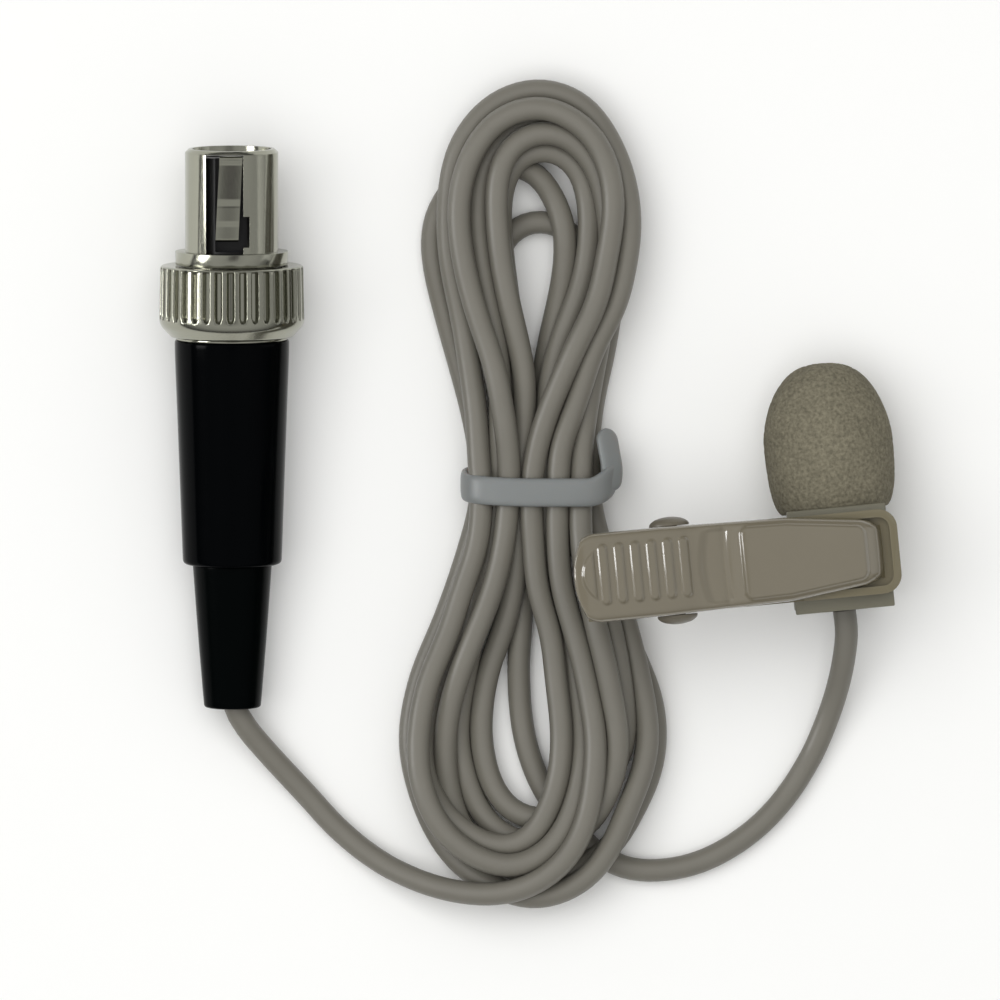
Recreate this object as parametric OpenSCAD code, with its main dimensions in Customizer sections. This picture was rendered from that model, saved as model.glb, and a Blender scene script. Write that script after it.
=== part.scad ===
// Lavalier microphone: a tie-clip capsule with a foam windscreen, 1.2 m of thin lead folded into a
// tied hank, and a mini plug with a spring latch, all lying on one flat surface at z = 0.
// The microphone's axis runs along +Y and its clip along X. Units are millimetres.

/* [Microphone] */
// Outer radius of the capsule housing
capsule_r = 3.75; // [3.5:0.05:3.75]
// Wall thickness of the capsule housing
capsule_wall = 0.6; // [0.5:0.05:0.7]
// Largest outer radius of the foam windscreen
foam_r = 6.15; // [6.0:0.05:6.15]
// Radius of the foam at its open neck
foam_neck_r = 4.9; // [4.6:0.1:5.0]

/* [Clip] */
// Half width of the lower jaw
jaw_half_w = 4.0; // [3.9:0.05:4.05]
// Half width of the lever at its thumb end
thumb_half_w = 4.3; // [4.15:0.05:4.3]
// Thickness of the lever's plate
lever_t = 1.0; // [0.9:0.05:1.1]
// Number of ribs under the thumb
thumb_ribs = 6; // [4:1:6]
// Radius of the hinge pin
pin_r = 0.75; // [0.6:0.05:0.8]

/* [Plug] */
// Outer radius of the plug's metal nose
nose_r = 4.43; // [4.4:0.01:4.45]
// Outer radius of the knurled collar
collar_r = 6.9; // [6.7:0.1:7.0]
// Number of flutes round the collar
flutes = 36; // [30:1:38]
// Number of contacts in the plug
contacts = 3; // [3:1:4]

/* [Lead] */
// Diameter of the lead
cord_d = 2.2; // [2.0:0.1:2.4]
// Height of the tied hank
hank_h = 7.6; // [7:0.1:8]

/* [Hidden] */
$fn = 48;

running = 0.05;                    // radial clearance of a part that turns or slides
cord_r = cord_d / 2;

// Microphone: places along its axis, from the lead's end to the windscreen's crown
mic_x = 9.9;
mic_z = foam_r;
bush_y = -11.8;
housing_y = [-11.3, 5.2];
grille_top_y = 7.7;
foam_y = [-2.3, 11.8];
foam_waist_y = 3.2;                // where the foam is widest
foam_pocket_y = 8.1;               // bottom of the pocket that takes the capsule
capsule_bore_r = capsule_r - capsule_wall;

// Holder: a snap ring under a flat plate
ring_r = 4.7;
ring_bore_r = capsule_r + running;
ring_y = [-11.4, -2.8];
plate_z = [11.4, 12.4];
plate_y = [-11.75, -1.95];

// Clip: lower jaw, lever and hinge, placed from the middle of the clip's width
clip_y = -6.5;
base_z = [12.8, 14.0];
base_x = [-14.4, 15.45];
rim_z = 15.0;
hinge_x = -6;
hinge_z = 15.7;
ear_r = 1.6;
lever_back_x = -15.45;
rivet_r = 1.2;
rib_pitch = 1.515;
rib_x = -12.6;
thumb_slope = 14.5;
ear_in = 2.3;
ear_out = 3.15;
skirt_w = 0.9;

// Plug: distances back from the tip of its nose
nose_l = 9.75;
flange_l = 11.05;
collar_l = 17.9;
collar_full = 16.7;                // where the collar's full radius ends
washer_l = 18.15;
housing_l = 39.6;
boot_l = 53.3;
housing_front_r = 5.45;
housing_rear_r = 4.7;
boot_front_r = 3.76;
boot_tip_r = 2.7;

// Lead, plug and hank lie turned a little from the microphone
lay_turn = -5.5;
plug_x = -47.2;
boot_tip_y = -20;
plug_tilt = atan((collar_r - housing_rear_r) / (housing_l - collar_full));
plug_tip_y = boot_tip_y + boot_l * cos(plug_tilt);
plug_tip_z = collar_r * cos(plug_tilt) + collar_full * sin(plug_tilt);
boot_tip = [plug_x, boot_tip_y, plug_tip_z - boot_l * sin(plug_tilt)];
bush_end = [mic_x * cos(lay_turn) + bush_y * sin(lay_turn),
    bush_y * cos(lay_turn) - mic_x * sin(lay_turn), mic_z];

tie_y = 0.3;
tie_w = 2.6;

plug_tail_route = concat([boot_tip], [[-47.0, -21.6, 3.1], [-45.8, -24, 2.5], [-43.2, -26.6, 1.7],
    [-40.4, -29, 1.2], [-37.3, -31.7, 1.1], [-34.3, -34, 1.1], [-31.1, -35.9, 1.2], [-27.8, -37.1, 1.6],
    [-24.3, -37.6, 2.4]]);
mic_tail_route = concat([[-12.2, -34.4, 1.1], [-9.4, -35.5, 1.1], [-6.2, -35.6, 1.1], [-2.8, -34.9, 1.1],
    [0.4, -33.3, 1.1], [3.4, -31, 1.1], [5.9, -28.1, 1.1], [7.8, -25, 1.2], [9.3, -21.6, 1.9],
    [10.4, -18.2, 3.4], [11.0, -15.2, 5.1], [11.2, -12.6, 6.0]], [bush_end]);

// ---- shared shapes ----

// A point of an arc in a profile, at an angle from the middle c
function arc_point(c, r, a) = [c[0] + r * cos(a), c[1] + r * sin(a)];

// Sets pieces of the microphone on its axis, with their own Z along +Y
module on_mic() { translate([mic_x, 0, mic_z]) rotate([-90, 0, 0]) children(); }

// A tube drawn along its own Z between two heights
module ring(outer, inner, z) {
    translate([0, 0, z[0]]) difference() {
        cylinder(r = outer, h = z[1] - z[0]);
        translate([0, 0, -1]) cylinder(r = inner, h = z[1] - z[0] + 2);
    }
}

// A disc drawn along its own Z between two heights
module disc(r, z) { translate([0, 0, z[0]]) cylinder(r = r, h = z[1] - z[0]); }

// A side outline (x, z) given a width across the clip, about the clip's middle
module across(width) {
    translate([0, clip_y, 0]) rotate([90, 0, 0]) linear_extrude(width, center = true) children();
}

// Everything that lies with the lead
module lay() { rotate([0, 0, lay_turn]) children(); }

// Sets pieces of the plug on its axis: own Z runs back from the tip, own Y points up
module on_plug() {
    lay() translate([plug_x, plug_tip_y, plug_tip_z]) rotate([90 + plug_tilt, 0, 0]) children();
}

// Tube of a given radius swept along a route, one ring of corners at each point. The route never
// runs along the direction up, which the rings are turned from.
module sweep_tube(route, r, sides = 8, up = [0, 0, 1]) {
    n = len(route);
    function unit(v) = v / norm(v);
    function heading(i) = unit(route[min(i + 1, n - 1)] - route[max(i - 1, 0)]);
    function side(i) = unit(cross(heading(i), up));
    function corner(i, k) = route[i]
        + r * cos(360 * k / sides) * side(i) + r * sin(360 * k / sides) * cross(side(i), heading(i));
    points = [for (i = [0:n - 1]) for (k = [0:sides - 1]) corner(i, k)];
    walls = [for (i = [0:n - 2]) for (k = [0:sides - 1])
        [i * sides + k, i * sides + (k + 1) % sides, (i + 1) * sides + (k + 1) % sides, (i + 1) * sides + k]];
    ends = [[for (k = [sides - 1:-1:0]) k], [for (k = [0:sides - 1]) (n - 1) * sides + k]];
    polyhedron(points = points, faces = concat(walls, ends), convexity = 4);
}

// ---- microphone ----

module capsule_housing() color("#4a463d") on_mic() difference() {
    disc(capsule_r, housing_y);
    disc(capsule_bore_r, [housing_y[0] + 1.2, housing_y[1] + 1]);
    disc(2.4, [housing_y[0] - 1, housing_y[0] + 2]);
}

// Perforated cap: the middle hole, then rings of holes in its flat front
module capsule_grille() color("#55524a") on_mic() difference() {
    union() {
        disc(capsule_r, [housing_y[1], grille_top_y - 0.5]);
        translate([0, 0, grille_top_y - 0.5]) cylinder(r1 = capsule_r, r2 = capsule_r - 0.5, h = 0.5);
    }
    disc(capsule_bore_r, [housing_y[1] - 1, grille_top_y - 0.6]);
    disc(0.3, [grille_top_y - 1, grille_top_y + 1]);
    for (row = [1, 2]) for (k = [0:6 * row - 1])
        rotate(60 * k / row) translate([row * 1.1, 0, 0]) disc(0.3, [grille_top_y - 1, grille_top_y + 1]);
}

module mesh_disc() color("#2c2c2a") on_mic()
    disc(capsule_bore_r - 0.05, [grille_top_y - 0.8, grille_top_y - 0.62]);

module electret_capsule() color("#b9bab5") on_mic() difference() {
    disc(2.3, [4.0, 6.7]);
    disc(0.6, [6.4, 7]);
}

module capsule_gasket() color("#1d1d1d") on_mic() ring(capsule_bore_r - 0.02, 2.32, [3.6, 5.8]);

module circuit_board() color("#2f6b3c") on_mic() disc(2.8, [2.2, 3.0]);

// Two wires and a screen from the end of the lead to the board
module mic_conductors() color("#b4472f") on_mic() {
    for (k = [0:2]) rotate(120 * k) translate([0.55, 0, 0]) disc(0.3, [-6, 2.2]);
    disc(cord_r - 0.05, [bush_y, -6]);
}

module rear_bush() color("#3b3831") on_mic() difference() {
    union() {
        disc(2.35, [bush_y, -9]);
        disc(capsule_bore_r - 0.02, [-10.05, -8.2]);
    }
    disc(cord_r, [bush_y - 1, 0]);
}

// Outline of the foam: a quarter oval from the neck to the waist, and a fuller one over the crown
function foam_outline(steps) = concat(
    [for (k = [0:steps]) let (a = 90 * k / steps)
        [foam_neck_r + (foam_r - foam_neck_r) * sin(a), foam_waist_y - (foam_waist_y - foam_y[0]) * cos(a)]],
    [for (k = [1:2 * steps]) let (a = 45 * k / steps)
        [foam_r * pow(cos(a), 0.86), foam_waist_y + (foam_y[1] - foam_waist_y) * pow(sin(a), 0.92)]]);

module windscreen() color("#737061") on_mic() difference() {
    rotate_extrude() polygon(concat([[0, foam_y[0]]], foam_outline(8)));
    disc(capsule_r + 0.1, [foam_y[0] - 1, foam_pocket_y]);
}

// ---- clip ----

// Snap ring round the capsule, open below, and the plate that carries the clip
module mic_holder() color("#716f63") difference() {
    union() {
        on_mic() disc(ring_r, ring_y);
        translate([mic_x - 2.6, ring_y[0], mic_z + 3.9])
            cube([5.2, ring_y[1] - ring_y[0], plate_z[0] - mic_z - 3.8]);
        translate([mic_x - ring_r, plate_y[0], plate_z[0]])
            cube([2 * ring_r, plate_y[1] - plate_y[0], plate_z[1] - plate_z[0]]);
    }
    on_mic() disc(ring_bore_r, [ring_y[0] - 2, ring_y[1] + 2]);
    translate([mic_x - 2, ring_y[0] - 1, mic_z - 6]) cube([4, ring_y[1] - ring_y[0] + 2, 4]);
    translate([mic_x, clip_y, 0]) disc(rivet_r, [10.9, 14]);
}

module swivel_rivet() color("#9a9a92") translate([mic_x, clip_y, 0]) {
    disc(rivet_r, [10.9, base_z[1] + 0.1]);
    translate([0, 0, base_z[1] + 0.1]) cylinder(r1 = 2.2, r2 = 1.9, h = 0.45);
}

module swivel_washer() color("#8d8d86") translate([mic_x, clip_y, 0])
    ring(3, rivet_r + running, [plate_z[1] + running, base_z[0]]);

// Outline of the lower jaw in plan, about the clip's middle: square tail, rounded nose
module jaw_plan(inset) {
    corner = 1.8;
    half = jaw_half_w - inset;
    translate([base_x[0] + inset, -half]) square([base_x[1] - corner - base_x[0] - inset, 2 * half]);
    translate([base_x[1] - corner - 0.01, -jaw_half_w + corner])
        square([corner - inset + 0.01, 2 * jaw_half_w - 2 * corner]);
    for (s = [-1, 1]) translate([base_x[1] - corner, s * (jaw_half_w - corner)]) circle(r = corner - inset);
}

// A row of teeth that stand on height z, and point up (1) or down (-1)
module teeth(first_x, z, count, up, width) {
    for (k = [0:count - 1]) across(width)
        translate([first_x + 0.9 * k, z]) polygon([[-0.35, 0], [0.35, 0], [0, 0.45 * up]]);
}

module clip_base() color("#6b6454") difference() {
    union() {
        translate([0, clip_y, base_z[0]]) linear_extrude(base_z[1] - base_z[0]) jaw_plan(0);
        difference() {
            translate([0, clip_y, base_z[1] - 0.1]) linear_extrude(rim_z - base_z[1] + 0.1) jaw_plan(0);
            translate([0, clip_y, base_z[1] - 1]) linear_extrude(4) jaw_plan(0.75);
            translate([-20, clip_y - 10, base_z[1] - 1]) cube([26, 20, 5]);
        }
        for (s = [-1, 1]) translate([0, s * (ear_in + ear_out) / 2, 0]) across(ear_out - ear_in) {
            translate([hinge_x, hinge_z]) circle(r = ear_r);
            translate([hinge_x - ear_r, base_z[1] - 0.1]) square([2 * ear_r, hinge_z - base_z[1] + 0.1]);
        }
        teeth(12.65, base_z[1] - 0.01, 2, 1, 5);
    }
    translate([hinge_x, clip_y, hinge_z]) rotate([90, 0, 0]) cylinder(r = pin_r, h = 12, center = true);
    translate([mic_x, clip_y, 0]) disc(rivet_r + running, [base_z[0] - 1, base_z[1] + 1]);
}

// Side outline of the lever's outside, from the tip round over the top to the thumb end and back
module lever_side() polygon([[13.76, 14.6], [13.76, 15.0], [13.3, 15.6], [12.3, 16.25], [0.6, 17.6],
    [-0.3, 17.35], [-0.9, 17.3], [-1.6, 17.6], [-3.6, 17.9], [-5.5, 18.6], [-14.1, 20.8], [-15.1, 20.85],
    [-15.45, 20.5], [-15.2, 19.8], [-9.2, 17.2], [-7.5, 15.4], [-7.1, 14.6], [-6, 14.15], [-4.9, 14.6],
    [-4.4, 15.2], [5, 15.15], [11, 15.15], [12, 14.6]]);

// Hollow under the lever's plate
module lever_hollow_side() polygon([[11.4, 14.4], [11.2, 15.3], [0.6, 17.6 - lever_t], [-0.9, 17.2 - lever_t],
    [-3.6, 17.8 - lever_t], [-5.5, 18.6 - lever_t], [-13.8, 20.7 - lever_t], [-14.6, 19.6], [-6, 13]]);

// Outline of the lever in plan, about the clip's middle: bowed thumb end, narrower tip
module lever_thumb_plan(inset) intersection() {
    translate([lever_back_x + 8, 0]) circle(r = 8 - inset, $fn = 96);
    union() {
        translate([-13, inset - thumb_half_w]) square([9, 2 * (thumb_half_w - inset)]);
        translate([-15.45, -2]) square([5, 4]);
        for (s = [-1, 1]) translate([-13.1, s * (thumb_half_w - 2.3)]) circle(r = 2.3 - inset);
    }
}
module lever_front_plan(inset) polygon([[-7, inset - thumb_half_w], [5, inset - 4.0],
    [12.2, inset - 3.0], [13.76, inset - 2.2], [13.76, 2.2 - inset], [12.2, 3.0 - inset], [5, 4.0 - inset],
    [-7, thumb_half_w - inset]]);

module lever_outline(inset) { lever_thumb_plan(inset); lever_front_plan(inset); }

module clip_lever() color("#7d7567") {
    difference() {
        intersection() {
            across(12) lever_side();
            translate([0, clip_y, 10]) linear_extrude(14) lever_outline(0);
        }
        intersection() {
            across(12) lever_hollow_side();
            translate([0, clip_y, 10]) linear_extrude(14) lever_outline(skirt_w);
        }
        translate([hinge_x, clip_y, hinge_z]) rotate([90, 0, 0])
            cylinder(r = pin_r + running, h = 12, center = true);
        translate([11.0, clip_y - 3.4, 14.3]) cube([4, 6.8, 0.45]);
    }
    for (k = [0:thumb_ribs - 1]) thumb_rib(rib_x + rib_pitch * k, 6.2);
    thumb_rib(rib_x - rib_pitch + 0.3, 4.4);
    teeth(12.2, 14.76, 2, -1, 4.4);
}

// A round-ended rib lying across the sloping thumb end at x
module thumb_rib(x, length) {
    half = length / 2 - 0.45;
    translate([x, clip_y, 18.6 + (-5.5 - x) * tan(thumb_slope)]) rotate([0, thumb_slope, 0])
        translate([0, 0, -0.3]) linear_extrude(0.52) {
            translate([-0.45, -half]) square([0.9, 2 * half]);
            for (s = [-1, 1]) translate([0, s * half]) circle(r = 0.45);
        }
}

// Rivet-like pin with a domed head outside each side of the lever
module hinge_pin() color("#767060") translate([hinge_x, clip_y, hinge_z]) rotate([90, 0, 0]) {
    cylinder(r = pin_r, h = 8.9, center = true);
    for (s = [0, 180]) rotate([s, 0, 0]) intersection() {
        translate([0, 0, 4.4]) cylinder(r = 1.9, h = 1);
        translate([0, 0, 2.72]) sphere(r = 2.5);
    }
}

// Torsion spring: coil round the pin with one leg on each jaw
module clip_spring() color("#a8aaa6") translate([hinge_x, clip_y, hinge_z]) rotate([90, 0, 0]) {
    turns = 4;
    coil_r = 1.3;
    half = 1.3;
    coil = [for (k = [0:10 * turns]) let (a = 36 * k)
        [coil_r * cos(a), coil_r * sin(a), half * (k / (5 * turns) - 1)]];
    legs = [[coil_r, -1.0, -half], [5, -1.4, -half], [coil_r, 0.4, half], [3.2, 0.45, half]];
    sweep_tube(concat([legs[1], legs[0]], coil, [legs[2], legs[3]]), 0.24, 8);
}

// ---- plug ----

// Nose, flange and threaded tail in one turned piece, with the latch's slot
module plug_shell() color("#a9aa9c") on_plug() difference() {
    union() {
        cylinder(r1 = nose_r - 0.35, r2 = nose_r, h = 0.35);
        disc(nose_r, [0.35, nose_l]);
        disc(5.36, [nose_l, flange_l - 0.05]);
        disc(4.58, [flange_l - 0.1, 22]);
    }
    disc(3.75, [-1, 23]);
    translate([-2.38, 2, 0.35]) cube([3.55, 4, nose_l - 0.35]);
    translate([1, 2, 6.2]) cube([0.75, 4, 2.9]);
}

// Leaf that turns on its rounded front fold, with a catch half way and a free tail
module latch_spring() color("#c4c4b8") on_plug() translate([-1.2, 0, 0]) rotate([90, 0, 90])
    linear_extrude(2.25) {
        translate([3.95, 0.78]) circle(r = 0.25);
        polygon([[4.18, 0.9], [3.96, 4.4], [4.2, 5.1], [4.2, 6.9], [3.86, 7.5], [3.78, 8.5], [3.6, 8.5],
            [3.58, 7.4], [3.88, 6.7], [3.88, 5.3], [3.66, 4.5], [3.8, 0.6]]);
    }

module contact_insert() color("#1b1b1c") on_plug() difference() {
    disc(3.72, [0.7, 15]);
    for (k = [0:contacts - 1]) rotate(360 * k / contacts - 90) translate([1.9, 0, 0]) disc(0.85, [0, 16]);
    translate([-1.5, 2.9, 0.6]) cube([3, 2, 9]);
}

module contact_sockets() color("#c9a24a") on_plug() for (k = [0:contacts - 1])
    rotate(360 * k / contacts - 90) translate([1.9, 0, 0]) difference() {
        disc(0.84, [1.0, 17]);
        disc(0.52, [0, 8]);
        disc(0.45, [15, 18]);
    }

// Collar that turns on the shell's tail: flutes with rounded ends, then a tapered shoulder
module knurled_collar() color("#a5a592") on_plug() difference() {
    union() {
        disc(collar_r, [flange_l + 0.05, collar_full]);
        translate([0, 0, collar_full]) cylinder(r1 = collar_r, r2 = 5.8, h = collar_l - collar_full);
    }
    disc(4.6 + running, [flange_l - 1, collar_l + 1]);
    for (k = [0:flutes - 1]) rotate((k + 0.5) * 360 / flutes) translate([collar_r + 0.1, 0, 0]) {
        disc(0.42, [flange_l + 0.25, collar_full - 0.4]);
        translate([0, 0, collar_full - 0.4]) sphere(r = 0.42, $fn = 24);
    }
}

module clamp_washer() color("#b9b9ae") on_plug() ring(5.3, 4.6, [collar_l + 0.02, washer_l]);

module rear_housing() color("#0b0e12") on_plug() difference() {
    union() {
        translate([0, 0, washer_l])
            cylinder(r1 = housing_front_r, r2 = housing_rear_r, h = housing_l - 0.3 - washer_l);
        translate([0, 0, housing_l - 0.3]) cylinder(r1 = housing_rear_r, r2 = housing_rear_r - 0.3, h = 0.3);
    }
    disc(4.6, [washer_l - 1, 22]);
    disc(3.7, [21.9, housing_l - 1.2]);
    disc(3.3, [20, housing_l + 1]);
}

// Tapered sleeve that keeps the lead from kinking, with a shoulder inside the housing
module strain_relief_boot() color("#08090b") on_plug() difference() {
    union() {
        disc(3.65, [housing_l - 3, housing_l - 1.25]);
        disc(3.28, [housing_l - 3, housing_l + 0.02]);
        translate([0, 0, housing_l])
            cylinder(r1 = boot_front_r, r2 = boot_tip_r, h = boot_l - 0.5 - housing_l);
        translate([0, 0, boot_l - 0.5]) cylinder(r1 = boot_tip_r, r2 = boot_tip_r - 0.35, h = 0.5);
    }
    disc(cord_r, [housing_l - 4, boot_l + 1]);
}

module cable_clamp() color("#8f9088") on_plug() difference() {
    disc(3.6, [26, 33]);
    disc(cord_r, [25, 34]);
    translate([-0.3, 0, 25]) cube([0.6, 5, 9]);
}

// Lead inside the plug and its bared wires to the contacts
module plug_conductors() color("#b4472f") on_plug() {
    disc(cord_r - 0.02, [22, boot_l]);
    for (k = [0:contacts - 1]) rotate(360 * k / contacts - 90)
        sweep_tube([[0.6, 0, 22], [1.2, 0, 20], [1.9, 0, 18], [1.9, 0, 15.5]], 0.3, 6, [0, 1, 0]);
}

// ---- lead ----

module cord_plug_tail() color("#77746c") lay() sweep_tube(plug_tail_route, cord_r);

module cord_mic_tail() color("#77746c") lay() sweep_tube(mic_tail_route, cord_r);

// Outer shape of the folded lead: two round-ended lobes and a waist that the tie squeezes
module cord_hank() color("#77746c") lay() difference() {
    linear_extrude(hank_h) polygon(concat([for (a = [0:10:180]) arc_point([-18.9, 29.6], 10.3, a)],
        [[-24.1, 2.5], [-24.1, -0.5]], [for (a = [180:10:360]) arc_point([-18.2, -26.8], 12.6, a)],
        [[-12.5, -0.5], [-12.5, 2.5]]));
    for (z = [-1, hank_h - 0.7]) translate([-35, tie_y - tie_w / 2 - 0.1, z]) cube([30, tie_w + 0.2, 1.7]);
}

// Flat strap closed round the waist of the hank
module cord_tie() color("#8b9092") lay() translate([0, tie_y, 0]) rotate([90, 0, 0])
    linear_extrude(tie_w, center = true) difference() {
        tie_loop(0);
        tie_loop(0.6);
    }
module tie_loop(inset) {
    end_r = 2;
    for (x = [-25.5 + end_r, -10.5 - end_r]) for (z = [end_r, hank_h - end_r])
        translate([x, z]) circle(r = end_r - inset);
    translate([-25.5 + inset, end_r]) square([15 - 2 * inset, hank_h - 2 * end_r]);
    translate([-25.5 + end_r, inset]) square([15 - 2 * end_r, hank_h - 2 * inset]);
}

capsule_housing();
capsule_grille();
mesh_disc();
electret_capsule();
capsule_gasket();
circuit_board();
mic_conductors();
rear_bush();
windscreen();
mic_holder();
swivel_rivet();
swivel_washer();
clip_base();
clip_lever();
hinge_pin();
clip_spring();
plug_shell();
latch_spring();
contact_insert();
contact_sockets();
knurled_collar();
clamp_washer();
rear_housing();
strain_relief_boot();
cable_clamp();
plug_conductors();
cord_plug_tail();
cord_hank();
cord_mic_tail();
cord_tie();
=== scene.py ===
"""Looks of a lavalier microphone on its tied lead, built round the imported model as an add-on-style script."""

import math

import bmesh
import bpy
import numpy as np
from bpy.props import FloatProperty, FloatVectorProperty, IntProperty, PointerProperty
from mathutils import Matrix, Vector


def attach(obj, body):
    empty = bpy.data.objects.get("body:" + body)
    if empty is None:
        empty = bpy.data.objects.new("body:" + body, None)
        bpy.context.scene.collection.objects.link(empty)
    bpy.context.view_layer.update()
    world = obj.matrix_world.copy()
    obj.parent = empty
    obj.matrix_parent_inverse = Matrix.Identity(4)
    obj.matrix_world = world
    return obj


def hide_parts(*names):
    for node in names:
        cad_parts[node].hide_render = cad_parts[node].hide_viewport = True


bl_info = {
    "name": "Lavalier microphone",
    "version": (1, 0, 0),
    "blender": (4, 5, 0),
    "location": "3D View > Sidebar > Microphone",
    "description": "Lead, tie, foam, clip and plug of a lavalier microphone, with a plain studio",
    "category": "Object",
}

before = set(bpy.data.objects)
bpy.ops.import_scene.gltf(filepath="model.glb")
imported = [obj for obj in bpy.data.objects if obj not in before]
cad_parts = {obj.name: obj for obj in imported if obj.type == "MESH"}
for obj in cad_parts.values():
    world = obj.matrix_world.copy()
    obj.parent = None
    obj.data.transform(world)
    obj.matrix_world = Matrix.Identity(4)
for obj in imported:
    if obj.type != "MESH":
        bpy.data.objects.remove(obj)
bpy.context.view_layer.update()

MM = 0.001

# ---- places, in millimetres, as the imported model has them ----

LAY_TURN = math.radians(-5.5)  # the lead and plug lie turned this much from the microphone
MIC_X, MIC_Z = 9.9, 6.15  # the microphone's axis, which runs along +Y
CLIP_Y = -6.5  # middle of the clip's width
HINGE_X, HINGE_Z = -6.0, 15.7
FLANGE_L, COLLAR_FULL, COLLAR_L = 11.05, 16.7, 17.9
WASHER_L, HOUSING_L, BOOT_L = 18.15, 39.6, 53.3  # distances back from the plug's tip
COLLAR_R, HOUSING_FRONT_R, HOUSING_REAR_R = 6.9, 5.45, 4.7
PLUG_X, BOOT_TIP_Y = -47.2, -20.0
PLUG_TILT = math.atan((COLLAR_R - HOUSING_REAR_R) / (HOUSING_L - COLLAR_FULL))
PLUG_TIP = (
    PLUG_X,
    BOOT_TIP_Y + BOOT_L * math.cos(PLUG_TILT),
    COLLAR_R * math.cos(PLUG_TILT) + COLLAR_FULL * math.sin(PLUG_TILT),
)
BOOT_TIP_Z = PLUG_TIP[2] - BOOT_L * math.sin(PLUG_TILT)
TIE_Y = 0.3  # where the tie closes round the hank
TIE_X = (-25.5, -10.5)
TIE_TOP = 7.6

# ---- the lead's route, in millimetres ----

# The plug's end: (x, y, height)
PLUG_TAIL = [
    (PLUG_X, -18.4, BOOT_TIP_Z + 0.15), (-46.95, BOOT_TIP_Y, BOOT_TIP_Z - 0.03), (-45.95, -21.85, 2.9),
    (-44.2, -24, 2.25), (-42.3, -26.1, 1.65), (-40.25, -28.3, 1.25), (-37.4, -31.4, 1.15), (-34.3, -34, 1.45),
    (-31.1, -35.9, 2.2), (-27.8, -37.1, 3.2), (-24.3, -37.6, 4.2),
]
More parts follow.
